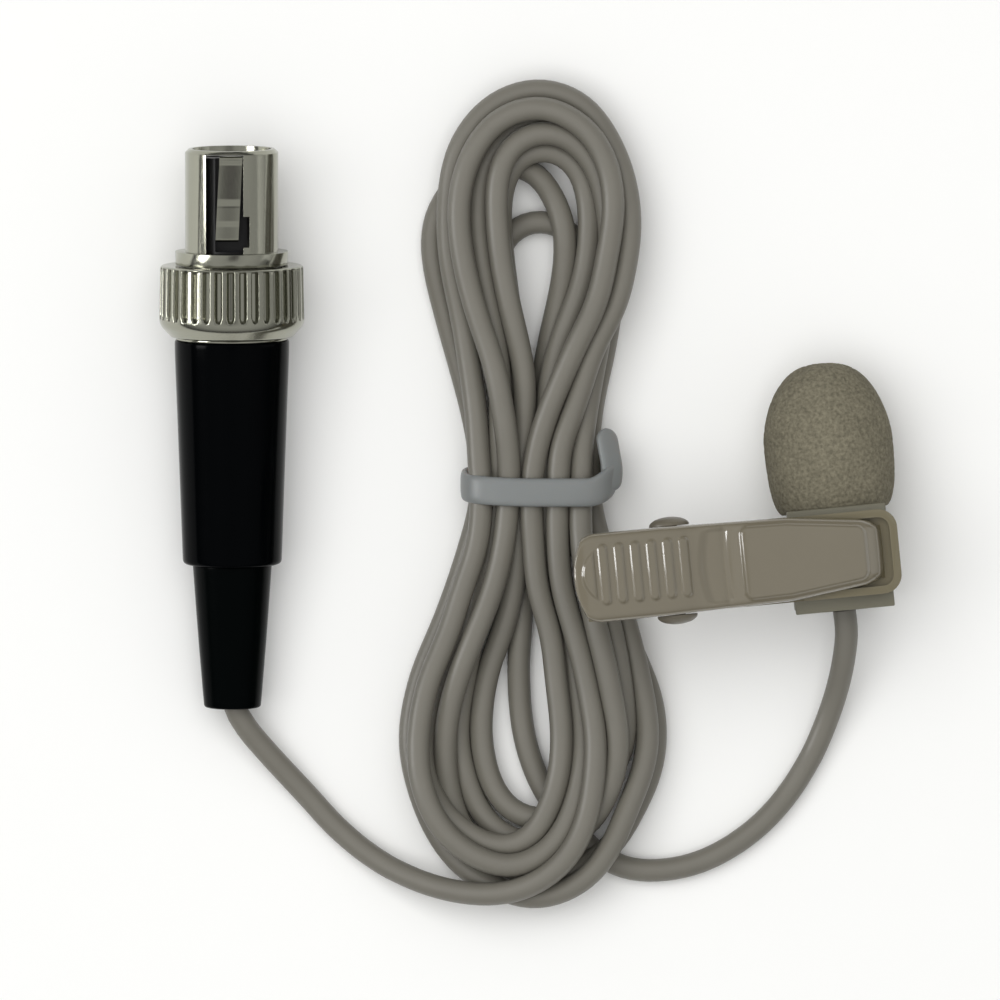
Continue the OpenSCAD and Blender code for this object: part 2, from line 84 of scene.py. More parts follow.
# The hank's passes: (x, y, rank), where the pass of higher rank lies on top
HANK = [
    # from the plug up to the tie
    (-21.1, -37.2, 8), (-17.6, -35.2, 8), (-14.4, -31.8, 8), (-13, -27.5, 8), (-12.5, -23.4, 8),
    (-13.4, -17.4, 8), (-14.5, -13.2, 8), (-15.8, -8.9, 8), (-16.3, -4.6, 7), (-16.4, 0.3, 6),
    # top turn 1
    (-16.3, 4, 6), (-14.5, 8.9, 6), (-12.8, 14.7, 6), (-11, 17.9, 6), (-10, 22.5, 6), (-9.8, 27.5, 6),
    (-11.2, 33.5, 6), (-14.1, 37.5, 6), (-18, 38.8, 6), (-22.2, 37.5, 6), (-25.4, 33.8, 6),
    (-26.7, 27.5, 6), (-26.6, 23.5, 6), (-25.2, 16.2, 6), (-24.6, 12.6, 6), (-23.6, 6.4, 6),
    (-23.1, 0.3, 6),
    # bottom turn 1
    (-23.6, -4.1, 7), (-25.3, -8.9, 7), (-26.7, -13.2, 7), (-28.5, -17.4, 7), (-29.5, -23.4, 7),
    (-29.4, -25.9, 7), (-28.7, -28.4, 7), (-27.4, -31, 7), (-25.4, -33.1, 7), (-23.1, -34.4, 7),
    (-21.1, -35.1, 7), (-18.7, -34.6, 7), (-16.5, -33, 7), (-15.1, -30.6, 7), (-14.3, -27.5, 6.5),
    (-14.1, -23.4, 6), (-14.5, -19.1, 5.5), (-15.3, -14.1, 5), (-16.1, -8.9, 4.5), (-17, -4.1, 4),
    (-17.4, 0.3, 4),
    # top turn 2
    (-17.4, 5.4, 4), (-17.1, 11.1, 4), (-16.2, 14.7, 4), (-14.3, 19.9, 4), (-13.2, 23.5, 4),
    (-12.8, 26.1, 4), (-12.9, 28.7, 4), (-14.1, 31.6, 4), (-15.6, 32.7, 4), (-17.3, 33.1, 4),
    (-19.1, 32.7, 4), (-20.6, 31.6, 4), (-21.7, 28.7, 4), (-21.8, 25.9, 4), (-21.4, 21.6, 3.5),
    (-20.8, 16.2, 3), (-20.5, 11.1, 2.5), (-21, 5.9, 2), (-21.7, 0.3, 2),
    # bottom turn 2
    (-22, -4.1, 3), (-23.3, -8.9, 3.5), (-25.2, -13.6, 4), (-27.1, -18.4, 4.5), (-28.2, -23.4, 5),
    (-28, -26.2, 5), (-27.1, -28.9, 5.5), (-25.4, -31.3, 6), (-23.2, -33.2, 6), (-21.3, -33.8, 6),
    (-19.5, -33.7, 6), (-17.9, -32.7, 6), (-16.7, -30.6, 6), (-15.8, -27.5, 6), (-15.5, -23.4, 6),
    (-16.3, -17.4, 6), (-16.8, -13.2, 6), (-18.1, -8.9, 6), (-18.5, -4.1, 6), (-18.6, 0.3, 6),
    # top turn 3
    (-18.3, 4, 7), (-16.7, 8.9, 7), (-14.9, 12.6, 7), (-12.5, 17.9, 7), (-11.4, 23.5, 7),
    (-10.9, 27.5, 7), (-11.6, 31.6, 7), (-13.8, 35.1, 7), (-18, 37.1, 7), (-22, 35.8, 7),
    (-24.6, 32.3, 7), (-25.7, 27.5, 7), (-25.4, 23.5, 7), (-24.1, 17.9, 7), (-22.3, 12.6, 7),
    (-21.3, 6.4, 7), (-20.9, 0.3, 6),
    # bottom turn 3
    (-21.4, -4.6, 6), (-22.5, -8.9, 6), (-24.5, -14, 6), (-25.8, -17.4, 6), (-27, -21.6, 6),
    (-27.3, -24.2, 6), (-27.2, -26.7, 5.5), (-26.3, -30, 4.5), (-24.3, -33.3, 3), (-21, -35.4, 2),
    (-17, -36.2, 2), (-13.2, -35.1, 2), (-10.7, -32.9, 2), (-9, -29.9, 2), (-7.6, -26.9, 2),
    (-7, -24.1, 2), (-7.4, -19.1, 2), (-8.7, -15.6, 2), (-9.9, -12.3, 2), (-11.9, -7.9, 2),
    (-15.1, -3.2, 2), (-17.4, 0.3, 2),
    # top turn 4
    (-17.8, 5.4, 2), (-17.9, 9.7, 3), (-17.5, 12.3, 3), (-16.9, 14.9, 3), (-16.1, 17.7, 3),
    (-15.4, 20.6, 3), (-15.2, 23.5, 3), (-15.4, 25.4, 3), (-15.9, 27.1, 3), (-16.9, 29, 3),
    (-17.8, 30.5, 3), (-19.2, 31.5, 3), (-21.7, 31.9, 2.5), (-24.6, 31.1, 2), (-26.8, 28.9, 2),
    (-28.2, 25.6, 2), (-28.1, 22.4, 2), (-27.2, 18.4, 2), (-26, 14, 2.5), (-24.8, 9.7, 3),
    (-23.8, 4.9, 4), (-23.6, 0.3, 4),
    # bottom turn 4
    (-24.5, -4.1, 4), (-25.9, -8.9, 4), (-27.4, -13.6, 4), (-29.2, -18.4, 4), (-30.1, -23.4, 4),
    (-29.7, -26.6, 4), (-28.9, -29.4, 4), (-27.6, -32.2, 4), (-25.4, -35, 4), (-21.9, -37.3, 4),
    (-18.8, -38.2, 4), (-16, -37.6, 4), (-13.2, -35.7, 3), (-11.3, -33.2, 3), (-9.7, -29.6, 3),
    (-8.4, -26, 3), (-8.1, -23.4, 3), (-8.6, -19.1, 3), (-9.4, -15.1, 3), (-10.5, -11.3, 3),
    (-11.9, -7, 3.5), (-13, -3.2, 4), (-13.4, 0.3, 4),
    # top turn 5
    (-13.4, 4, 4), (-13, 8.7, 4), (-11.9, 13.8, 5), (-11.1, 18.7, 5), (-10.5, 23.5, 5),
    (-10.5, 27.5, 5), (-11.4, 31.6, 5), (-13.2, 34.6, 5), (-15.5, 36.1, 5), (-17.9, 36.3, 5),
    (-20.6, 34.9, 5), (-22.2, 33.2, 5), (-23.3, 31.1, 5), (-23.7, 28.3, 5), (-23.5, 23.5, 5),
    (-22.7, 19.1, 5), (-21.7, 15.1, 5), (-21.1, 10.6, 5), (-21.4, 5.4, 4.5), (-22, 0.3, 4),
    # bottom turn 5
    (-22.5, -4.6, 4.5), (-23.4, -9.4, 5), (-24.8, -14.1, 5), (-25.6, -19.1, 5), (-25.8, -23.4, 5),
    (-25.4, -26.2, 5), (-24.8, -28.7, 5), (-23.5, -30.8, 5), (-21.7, -32.2, 4.5), (-19.4, -32.9, 3),
    (-16.7, -32.5, 3), (-14.1, -31, 4), (-12.2, -28.4, 4.5), (-11, -25.8, 5), (-10.5, -23.4, 5),
    (-11, -19.1, 5), (-11.7, -15.1, 5), (-12.6, -11.7, 5), (-13.5, -7.4, 5.5), (-14.1, -3.6, 6),
    (-14.3, 0.3, 6),
    # top turn 6
    (-14.1, 4.9, 6), (-13.4, 9.7, 6), (-12.4, 14.5, 5.5), (-11.7, 19.2, 5), (-11.4, 23.5, 5),
    (-11.7, 27.3, 5), (-12.4, 30.6, 5), (-13.6, 32.9, 5), (-15.3, 34.3, 5), (-17.3, 34.8, 5),
    (-19.3, 34.3, 5), (-20.9, 32.9, 5), (-21.8, 30.4, 5), (-22, 26.8, 5), (-21.7, 22.6, 5),
    (-20.9, 17.3, 5), (-19.9, 12.1, 5), (-19.6, 6.4, 4.5), (-19.7, 0.3, 4),
    # bottom turn 6
    (-19.9, -4.6, 4), (-20.5, -9.4, 4.5), (-21.8, -13.4, 4.5), (-23.3, -16.8, 4.5), (-24, -19.9, 4.5),
    (-24.2, -23.4, 4.5), (-23.7, -25.9, 4.5), (-22.6, -28.1, 4.5), (-21, -29.8, 4), (-19.2, -30.7, 3),
    (-16.8, -30.8, 3), (-14.4, -30, 3), (-12.2, -28.2, 3.5), (-10.5, -26, 4), (-9.4, -23.4, 4),
    (-9.5, -19.4, 4), (-10.1, -15.6, 4), (-10.9, -11.9, 4), (-12.2, -7.9, 4), (-13.9, -3.6, 4),
    (-15.4, 0.3, 4),
    # top turn 7
    (-15.4, 4.9, 3), (-14.8, 9.7, 2), (-13.8, 14.5, 1.5), (-13.2, 18.6, 1), (-13.2, 21.7, 1),
    (-13.8, 24.1, 1), (-15.3, 25.8, 1), (-17.7, 26.5, 1), (-20.1, 25.8, 1), (-21.6, 24.1, 1),
    (-22.2, 21.7, 1), (-22, 18.6, 1), (-21.2, 13.5, 1), (-20.1, 6.8, 1.5), (-19.5, 0.3, 2),
    # down to the microphone
    (-19.7, -6, 1.5), (-19.8, -12.3, 1), (-20, -15.6, 1), (-19.9, -19.1, 1), (-19.4, -23.2, 1),
    (-18.2, -27, 1), (-16.9, -29.6, 1), (-14.9, -31.9, 1),
]
# The microphone's end: (x, y, height)
MIC_TAIL = [
    (-12.2, -34.4, 1.1), (-9.4, -35.5, 1.1), (-6.2, -35.6, 1.1), (-2.8, -34.9, 1.1), (0.4, -33.3, 1.1),
    (3.4, -31, 1.1), (5.9, -28.1, 1.1), (7.8, -25, 1.2), (9.3, -21.6, 1.9), (10.4, -18.2, 3.4),
    (11.0, -15.2, 5.1), (11.2, -12.6, 6.0), (10.99, -10.8, 6.15),
]


# ---- settings ----


def linear(code):
    """A six-digit sRGB hex colour as linear red, green and blue."""
    channels = np.array([int(code[i : i + 2], 16) for i in (0, 2, 4)]) / 255
    return tuple(np.where(channels <= 0.04045, channels / 12.92, ((channels + 0.055) / 1.055) ** 2.4))


def length(name, default, description):
    """A length property, its default given in millimetres."""
    return FloatProperty(name=name, description=description, default=default * MM, unit="LENGTH")


def colour(name, code, description):
    """A colour property, its default given as a hex code."""
    return FloatVectorProperty(name=name, description=description, default=linear(code), subtype="COLOR")


class LeadSettings(bpy.types.PropertyGroup):
    """Sizes of the lead and of the strap round it."""

    diameter: length("Lead diameter", 2.2, "Thickness of the lead over its jacket")
    step: length("Step", 1.1, "Spacing of the points that the lead settles with")
    strap_width: length("Strap width", 2.7, "Width of the strap that ties the hank")
    strap_thickness: length("Strap thickness", 0.9, "Thickness of that strap")


class FoamSettings(bpy.types.PropertyGroup):
    """Size and cells of the windscreen."""

    radius: length("Foam radius", 6.15, "Largest radius of the windscreen")
    cell: length("Cell size", 0.36, "Spacing of the foam's open cells")
    pit: length("Cell depth", 0.1, "How deep the cut cells sit in the surface")


class ClipSettings(bpy.types.PropertyGroup):
    """Relief on the clip's lever and the roundness of its edges."""

    rib_height: length("Rib height", 0.26, "Height of the ribs under the thumb")
    panel_height: length("Panel height", 0.3, "Height of the raised panel over the jaw")
    edge: length("Edge radius", 0.75, "Rounding along the lever's long edges")
    moulded_edge: length("Moulded edge", 0.22, "Rounding on the jaw's and holder's edges")


class PlugSettings(bpy.types.PropertyGroup):
    """Relief on the plug's collar."""

    flutes: IntProperty(
        name="Flutes", description="Number of flutes round the collar", default=36, min=24, max=44
    )
    flute_depth: length("Flute depth", 0.6, "Depth of the collar's flutes")


class FinishSettings(bpy.types.PropertyGroup):
    """Colours of the mouldings, the lead and the metal."""

    jacket: colour("Lead jacket", "716E65", "Grey-beige soft PVC")
    strap: colour("Strap", "7C7E7D", "Cool grey silicone")
    foam: colour("Foam", "787362", "Beige polyurethane foam")
    lever: colour("Lever", "706958", "Glossy beige ABS")
    jaw: colour("Jaw", "6C654F", "Darker glossy beige ABS")
    holder: colour("Holder", "6F6C5C", "Satin beige ABS")
    pin: colour("Hinge pin", "645E50", "Satin beige ABS")
    nickel: colour("Nickel", "9C9C8F", "Nickel plate with a faint yellow cast")
    housing: colour("Plug housing", "020304", "Black polished moulding")


SETTINGS = {
    "lav_lead": LeadSettings,
    "lav_foam": FoamSettings,
    "lav_clip": ClipSettings,
    "lav_plug": PlugSettings,
    "lav_finish": FinishSettings,
}


def millimetres(value):
    """A length property as millimetres."""
    return value / MM


# ---- frames of reference ----


def laid(points):
    """Points of the lead's own layout (..., 3) turned into the model's frame."""
    x, y, z = np.moveaxis(np.asarray(points, float), -1, 0)
    c, s = math.cos(LAY_TURN), math.sin(LAY_TURN)
    return np.stack([x * c - y * s, x * s + y * c, z], -1)


def on_plug(x, y, t):
    """Places of the plug: x to the side, y up, t back from its tip, all in the model's frame."""
    x, y, t = np.broadcast_arrays(x, y, t)
    c, s = math.cos(PLUG_TILT), math.sin(PLUG_TILT)
    return laid(np.stack([PLUG_TIP[0] + x, PLUG_TIP[1] - y * s - t * c, PLUG_TIP[2] + y * c - t * s], -1))


def on_mic(x, up, y):
    """Places about the microphone's axis: x to the side, up above it, y along it."""
    x, up, y = np.broadcast_arrays(x, up, y)
    return np.stack([MIC_X + x, y, MIC_Z + up], -1)


# ---- shapes shared by the pieces ----


def ease(value):
    """0 below 0 and 1 above 1, with a smooth cubic between."""
    v = np.clip(value, 0, 1)
    return v * v * (3 - 2 * v)


def ramp(value):
    """0 below 0 and 1 above 1, straight between, with its two bends taken off by a mean of three places."""
    return sum(np.clip(value + shift, 0, 1) for shift in (-0.1, 0, 0.1)) / 3


def rounded(corners, steps=5, closed=False):
    """An outline through corners (a, b, cut): each corner is replaced by a parabola that leaves and meets
    its two sides at the cut distance from it."""
    pts = np.array([c[:2] for c in corners], float)
    cut = np.array([c[2] for c in corners], float)
    out = []
    for i, p in enumerate(pts):
        if cut[i] == 0 or (not closed and i in (0, len(pts) - 1)):
            out.append(p[None])
            continue
        before, after = pts[i - 1] - p, pts[(i + 1) % len(pts)] - p
        a = p + before * min(cut[i] / np.linalg.norm(before), 0.49)
        b = p + after * min(cut[i] / np.linalg.norm(after), 0.49)
        t = np.linspace(0, 1, steps + 1)[:, None]
        out.append((1 - t) ** 2 * a + 2 * t * (1 - t) * p + t**2 * b)
    return np.concatenate(out)


def spaced(line, spacing, closed=False):
    """A line of points given more of them, evenly between its corners, so that none are further apart than
    the spacing."""
    line = np.asarray(line, float)
    ends = np.roll(line, -1, axis=0) if closed else line[1:]
    starts = line if closed else line[:-1]
    counts = np.maximum(np.ceil(np.linalg.norm(ends - starts, axis=1) / spacing), 1).astype(int)
    first = np.repeat(np.cumsum(counts) - counts, counts)
    part = (np.arange(counts.sum()) - first) / np.repeat(counts, counts)
    out = np.repeat(starts, counts, axis=0) + np.repeat(ends - starts, counts, axis=0) * part[:, None]
    return out if closed else np.concatenate([out, line[-1:]])


def skin(name, grid, along=False, sharp=50):
    """A closed mesh from a grid of points (rows, columns, 3) in millimetres. Neighbours are joined by quads,
    the last column to the first too, and with along the last row to the first. Otherwise the first and last
    rows are closed by a fan to their middle. The sign of the enclosed volume says which way faces turn."""
    rows, columns = grid.shape[:2]
    points = grid.reshape(-1, 3) * MM
    index = np.arange(rows * columns).reshape(rows, columns)
    right = np.roll(index, -1, axis=1)
    quads = np.stack([index, right, np.roll(right, -1, axis=0), np.roll(index, -1, axis=0)], -1)
    tris = np.zeros((0, 3), int)
    if not along:
        quads = quads[:-1]
        middles = len(points) + np.arange(2)
        points = np.concatenate([points, points[index[[0, -1]]].mean(1)])
        first = np.stack([right[0], index[0], np.full(columns, middles[0])], -1)
        last = np.stack([index[-1], right[-1], np.full(columns, middles[1])], -1)
        tris = np.concatenate([first, last])
    quads = quads.reshape(-1, 4)
    a, b, c = points[np.concatenate([quads[:, :3], quads[:, [0, 2, 3]], tris])].transpose(1, 0, 2)
    if np.einsum("ij,ij", a, np.cross(b, c)) < 0:
        quads, tris = quads[:, ::-1], tris[:, ::-1]
    mesh = bpy.data.meshes.new(name)
    mesh.vertices.add(len(points))
    mesh.vertices.foreach_set("co", points.ravel())
    mesh.loops.add(quads.size + tris.size)
    mesh.loops.foreach_set("vertex_index", np.concatenate([quads.ravel(), tris.ravel()]))
    mesh.polygons.add(len(quads) + len(tris))
    starts = np.concatenate([np.arange(len(quads)) * 4, quads.size + np.arange(len(tris)) * 3])
    mesh.polygons.foreach_set("loop_start", starts)
    mesh.polygons.foreach_set("use_smooth", np.ones(len(starts), bool))
    mesh.update(calc_edges=True)
    mesh.validate()
    mesh.set_sharp_from_angle(angle=math.radians(sharp))
    obj = bpy.data.objects.new(name, mesh)
    bpy.context.scene.collection.objects.link(obj)
    return obj


def turned(name, profile, place, sides=128, relief=None, sharp=50):
    """A ring of revolution: a closed profile of (t, r) carried round an axis, so that a point at angle v is
    (r cos v, r sin v) across the axis and t along it. relief(t, r, v) is added to the radius."""
    t, r = profile[:, :1], profile[:, 1:]
    v = np.arange(sides) * math.tau / sides
    r = r + (relief(t, r, v) if relief else 0 * v)
    return skin(name, place(r * np.cos(v), r * np.sin(v), t), along=True, sharp=sharp)


def softened(node, name, width):
    """A copy of a CAD node with its doubles merged, its flat faces joined and its edges rounded by a live
    Bevel of that width in millimetres."""
    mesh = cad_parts[node].data.copy()
    mesh.name = name
    mesh.materials.clear()
    bm = bmesh.new()
    bm.from_mesh(mesh)
    bmesh.ops.remove_doubles(bm, verts=bm.verts, dist=2e-6)
    bmesh.ops.dissolve_limit(bm, angle_limit=math.radians(2), verts=bm.verts, edges=bm.edges)
    for face in bm.faces:
        face.smooth = True
    bm.to_mesh(mesh)
    bm.free()
    obj = bpy.data.objects.new(name, mesh)
    bpy.context.scene.collection.objects.link(obj)
    bevel = obj.modifiers.new("rounded edges", "BEVEL")
    bevel.width = width * MM
    bevel.segments = 3
    bevel.limit_method = "ANGLE"
    bevel.angle_limit = math.radians(32)
    bevel.harden_normals = True
    return obj


def finished(obj, body, slot, material, *nodes):
    """Gives a new piece its material and its body, and hides the CAD nodes that it stands for. The slot
    argument is not used.
    """
    obj.data.materials.append(material)
    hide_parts(*nodes)
    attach(obj, body)
    return obj


# ---- materials ----


def add_node(tree, kind, inputs=None, **settings):
    """Adds a node, sets its properties and fills its inputs with values or other nodes' outputs."""
    node = tree.nodes.new(kind)
    for key, value in settings.items():
        setattr(node, key, value)
    for key, value in (inputs or {}).items():
        if isinstance(value, bpy.types.NodeSocket):
            tree.links.new(value, node.inputs[key])
        else:
            node.inputs[key].default_value = value
    return node


def new_material(name, **sockets):
    """A material with one Principled shader, its constant sockets set. Returns the material, its tree, the
    shader and the piece's own coordinates in millimetres."""
    material = bpy.data.materials.new(name)
    material.use_nodes = True
    tree = material.node_tree
    shader = tree.nodes["Principled BSDF"]
    for key, value in sockets.items():
        shader.inputs[key.replace("_", " ")].default_value = value
    place = add_node(tree, "ShaderNodeTexCoord").outputs["Object"]
    scaled = add_node(tree, "ShaderNodeVectorMath", {0: place, 1: (1 / MM,) * 3}, operation="MULTIPLY")
    return material, tree, shader, scaled.outputs[0]


def shade(colour, share):
    """A linear colour made lighter or darker by a share, with an alpha."""
    return (*[min(1.0, c * share) for c in colour], 1.0)


def grained(name, colour, roughness, grain, depth, mottle, spread, **sockets):
    """A moulded or extruded plastic: its colour drifts by mottle over patches about 4 mm across, and a fine
    grain of the given spacing and depth in millimetres breaks up its gloss."""
    material, tree, shader, place = new_material(name, **sockets)
    patches = add_node(tree, "ShaderNodeTexNoise", {"Vector": place, "Scale": 0.25, "Detail": 3.0})
    drift = add_node(
        tree, "ShaderNodeMix",
        {"Factor": patches.outputs["Fac"], 6: shade(colour, 1 - mottle), 7: shade(colour, 1 + mottle)},
        data_type="RGBA",
    )
    tree.links.new(drift.outputs[2], shader.inputs["Base Color"])
    fine = add_node(tree, "ShaderNodeTexNoise", {"Vector": place, "Scale": 1 / grain, "Detail": 2.0})
    gloss = add_node(
        tree, "ShaderNodeMapRange",
        {"Value": fine.outputs["Fac"], "To Min": max(roughness - spread, 0.02), "To Max": roughness + spread},
    )
    tree.links.new(gloss.outputs[0], shader.inputs["Roughness"])
    bump = add_node(
        tree, "ShaderNodeBump", {"Height": fine.outputs["Fac"], "Distance": depth * MM, "Strength": 0.6}
    )
    tree.links.new(bump.outputs[0], shader.inputs["Normal"])
    return material


# Plastics and rubbers, each with its roughness, the spacing and depth of its grain in millimetres, the drift
# of its colour, and how far its roughness spreads
PLASTICS = {
    # matt, with a wide dull highlight and a very fine die grain
    "jacket": ("soft PVC, extruded", 0.44, 0.22, 0.012, 0.06, 0.05),
    # smooth and slightly waxy
    "strap": ("silicone, moulded", 0.42, 0.3, 0.008, 0.05, 0.05),
    # a clear sharp gloss over a plain body colour
    "lever": ("ABS, polished mould", 0.2, 0.5, 0.003, 0.04, 0.03),
    # from the same tool finish as the lever, a little duller
    "jaw": ("ABS, polished mould, dark", 0.24, 0.5, 0.003, 0.05, 0.03),
    # spark-eroded tool: satin, with a fine grain
    "holder": ("ABS, textured mould", 0.4, 0.16, 0.012, 0.05, 0.05),
    # deep black with a thin sharp highlight
    "housing": ("polycarbonate, polished", 0.14, 0.8, 0.002, 0.1, 0.02),
    # black with a softer gloss than the housing
    "boot": ("flexible PVC, moulded", 0.24, 0.3, 0.004, 0.15, 0.05),
    # matt black
    "rubber": ("nitrile rubber, moulded", 0.6, 0.12, 0.02, 0.12, 0.05),
    # dull black, with short fibre marks
    "insert": ("glass-filled nylon, moulded", 0.5, 0.1, 0.02, 0.2, 0.05),
    # green solder mask over a weave of 0.4 mm
    "board": ("glass epoxy, solder mask", 0.3, 0.4, 0.01, 0.2, 0.05),
    # plain red with a dull gloss
    "wire": ("thin PVC, extruded", 0.4, 0.2, 0.01, 0.08, 0.05),
    # the floor's: flat and even
    "floor": ("laminate, matt white", 0.7, 2.0, 0.0, 0.004, 0.05),
}


def plastic(kind, colour, **sockets):
    """The material of one row of PLASTICS, in a linear colour."""
    name, *sizes = PLASTICS[kind]
    return grained(name, colour, *sizes, **sockets)


# Metals, each with its roughness, the spacing of its lines, and how they are stretched along x, y and z
METALS = {
    # bright, a little yellow, with faint marks left by the tool
    "nickel": ("brass, nickel plated", 0.16, 0.12, (1.0, 0.15, 1.0)),
    # bright, with lines along it
    "spring": ("music wire, drawn", 0.25, 0.1, (1.0, 1.0, 1.0)),
    # satin
    "steel": ("stainless steel, turned", 0.3, 0.1, (0.3, 1.0, 1.0)),
    # the warm bright inside of a socket
    "contact": ("brass, gold flashed", 0.18, 0.1, (1.0, 1.0, 1.0)),
    # dark satin with a warm edge
    "capsule": ("brass, blackened", 0.36, 0.1, (1.0, 0.2, 1.0)),
}


def metal(kind, colour):
    """The material of one row of METALS: its gloss is broken by fine lines, which are noise at their spacing
    in millimetres, stretched by three shares."""
    name, roughness, scratch, along = METALS[kind]
    material, tree, shader, place = new_material(name, Metallic=1.0)
    shader.inputs["Base Color"].default_value = (*colour, 1.0)
    drawn = add_node(tree, "ShaderNodeMapping", {"Vector": place, "Scale": along})
    lines = add_node(
        tree, "ShaderNodeTexNoise", {"Vector": drawn.outputs[0], "Scale": 1 / scratch, "Detail": 3.0}
    )
    gloss = add_node(
        tree, "ShaderNodeMapRange",
        {"Value": lines.outputs["Fac"], "To Min": roughness * 0.6, "To Max": roughness * 1.5},
    )
    tree.links.new(gloss.outputs[0], shader.inputs["Roughness"])
    groove = 0.004  # depth of a line
    bump = add_node(
        tree, "ShaderNodeBump", {"Height": lines.outputs["Fac"], "Distance": groove * MM, "Strength": 0.5}
    )
    tree.links.new(bump.outputs[0], shader.inputs["Normal"])
    return material


def mesh_felt():
    """Acoustic mesh, woven from fine polyester: a black plain weave."""
    thread = 0.12  # spacing of its threads in millimetres
    material, tree, shader, place = new_material("polyester mesh, woven", Roughness=0.8, Sheen_Weight=0.3)
    ways = [
        add_node(
            tree, "ShaderNodeTexWave", {"Vector": place, "Scale": 1 / (thread * math.tau)},
            bands_direction=way,
        )
        for way in ("X", "Z")
    ]
    weave = add_node(
        tree, "ShaderNodeMath", {n: way.outputs["Fac"] for n, way in enumerate(ways)}, operation="MULTIPLY"
    )
    tone = add_node(
        tree, "ShaderNodeMix",
        {"Factor": weave.outputs[0], 6: (*linear("0C0C0C"), 1), 7: (*linear("3A3A38"), 1)}, data_type="RGBA",
    )
    tree.links.new(tone.outputs[2], shader.inputs["Base Color"])
    return material


def foam_pu(colour, cell):
    """Polyurethane foam, open cell: a dull grain of ribs round cut cells of the foam's own spacing,
    quite without gloss. The cells are Voronoi, and their depth differs from cell to cell. The grain that gives
    the
    bump also sets the colour: painted shade darkens it in the cells, and painted light makes the ribs paler."""
    material, tree, shader, place = new_material("polyurethane foam, open cell", Roughness=0.95)
    shader.inputs["Specular IOR Level"].default_value = 0.2
    ribs = add_node(
        tree, "ShaderNodeTexNoise", {"Vector": place, "Scale": 1.1 / cell, "Detail": 2.5, "Roughness": 0.6}
    )
    cells = add_node(tree, "ShaderNodeTexVoronoi", {"Vector": place, "Scale": 0.8 / cell, "Randomness": 1.0})
    rim = add_node(
        tree, "ShaderNodeMapRange",
        {"Value": cells.outputs["Distance"], "From Min": 0.05, "From Max": 0.45, "To Min": -0.12, "To Max": 0},
    )
    grain = add_node(tree, "ShaderNodeMath", {0: ribs.outputs["Fac"], 1: rim.outputs[0]}, operation="ADD")
    patch = add_node(tree, "ShaderNodeTexNoise", {"Vector": place, "Scale": 0.35, "Detail": 2.0})
    reach = add_node(
        tree, "ShaderNodeMapRange", {"Value": grain.outputs[0], "From Min": 0.3, "From Max": 0.66}
    )
    drift = add_node(
        tree, "ShaderNodeMapRange", {"Value": patch.outputs["Fac"], "To Min": 0.88, "To Max": 1.12}
    )
    # painted shade and painted light: the colour goes from 0.68 of itself in the cells to 1.18 on the ribs,
    # following the bump's grain
    tone = add_node(
        tree, "ShaderNodeMix",
        {"Factor": reach.outputs[0], 6: shade(colour, 0.68), 7: shade(colour, 1.18)}, data_type="RGBA",
    )
    cell_shade_and_drift = add_node(
        tree, "ShaderNodeVectorMath", {0: tone.outputs[2], "Scale": drift.outputs[0]}, operation="SCALE"
    )
    tree.links.new(cell_shade_and_drift.outputs[0], shader.inputs["Base Color"])
    bump = add_node(
        tree, "ShaderNodeBump", {"Height": grain.outputs[0], "Distance": 0.05 * MM, "Strength": 0.7}
    )
    tree.links.new(bump.outputs[0], shader.inputs["Normal"])
    return material


# ---- the lead ----


def evenly(points, step):
    """A curve through the points, as a cubic between each two whose slope at a point is the mean of its two
    sides' slopes, each weighted by the other side's length. Given back at even steps in plan."""
    points = np.asarray(points, float)
    far = np.r_[0, np.cumsum(np.linalg.norm(np.diff(points[:, :2], axis=0), axis=1))]
    gap = np.diff(far)
    slope = np.diff(points, axis=0) / gap[:, None]
    tangent = np.concatenate([
        slope[:1],
        (slope[:-1] * gap[1:, None] + slope[1:] * gap[:-1, None]) / (gap[1:] + gap[:-1])[:, None],
        slope[-1:],
    ])
    at = np.linspace(0, far[-1], int(far[-1] / step) + 1)
    k = np.clip(np.searchsorted(far, at, side="right") - 1, 0, len(gap) - 1)
    t = ((at - far[k]) / gap[k])[:, None]
    reach = gap[k][:, None]
    return (
        (2 * t**3 - 3 * t**2 + 1) * points[k] + (t**3 - 2 * t**2 + t) * reach * tangent[k]
        + (3 * t**2 - 2 * t**3) * points[k + 1] + (t**3 - t**2) * reach * tangent[k + 1]
    )


def eased(line, share, held):
    """A line with each free point moved towards the middle of its two neighbours by a share."""
    out = line.copy()
    out[1:-1] += share * (0.5 * (line[:-2] + line[2:]) - line[1:-1])
    out[held] = line[held]
    return out


